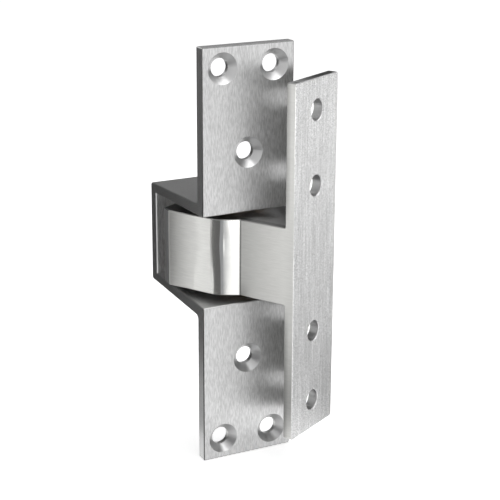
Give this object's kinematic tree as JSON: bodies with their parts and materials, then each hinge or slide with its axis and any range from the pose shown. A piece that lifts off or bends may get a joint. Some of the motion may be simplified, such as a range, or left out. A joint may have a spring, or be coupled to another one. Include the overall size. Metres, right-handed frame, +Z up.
{
  "type": "offset pivot hinge",
  "caption": "Offset pivot hinge: a flat frame leaf with a square open-sided pocket, in which the heavy arm of a narrower door leaf turns on an upright pin.",
  "frame": {"origin": "middle of the frame leaf's four corner screws, on the leaf's mounting face", "axes": "+X across the frame leaf towards the side the door opens to, +Y into the frame, +Z up along the leaf"},
  "size_m": [0.0527, 0.0642, 0.1524],
  "materials": {
    "satin_steel": "stainless steel, satin faces with an upright grain",
    "door_leaf_steel": "cast stainless steel, satin arm and edges, blasted mounting face",
    "pin_steel": "ground stainless steel",
    "ring_steel": "spring steel, dull",
    "bush_bronze": "sintered bronze",
    "washer_steel": "ground hardened steel"
  },
  "bodies": {
    "frame_side": {"frame_leaf": "satin_steel", "pivot_pin": "pin_steel", "retaining_ring": "ring_steel", "upper_thrust_washer": "washer_steel", "lower_thrust_washer": "washer_steel"},
    "door_side": {"door_leaf": "door_leaf_steel", "upper_bush": "bush_bronze", "lower_bush": "bush_bronze"}
  },
  "joints": [
    {"name": "pivot", "type": "hinge", "parent": "frame_side", "child": "door_side", "pos_m": [0.00765, 0.0176, 0], "axis": [0, 0, 1], "range_deg": [-28.8, 105]}
  ]
}
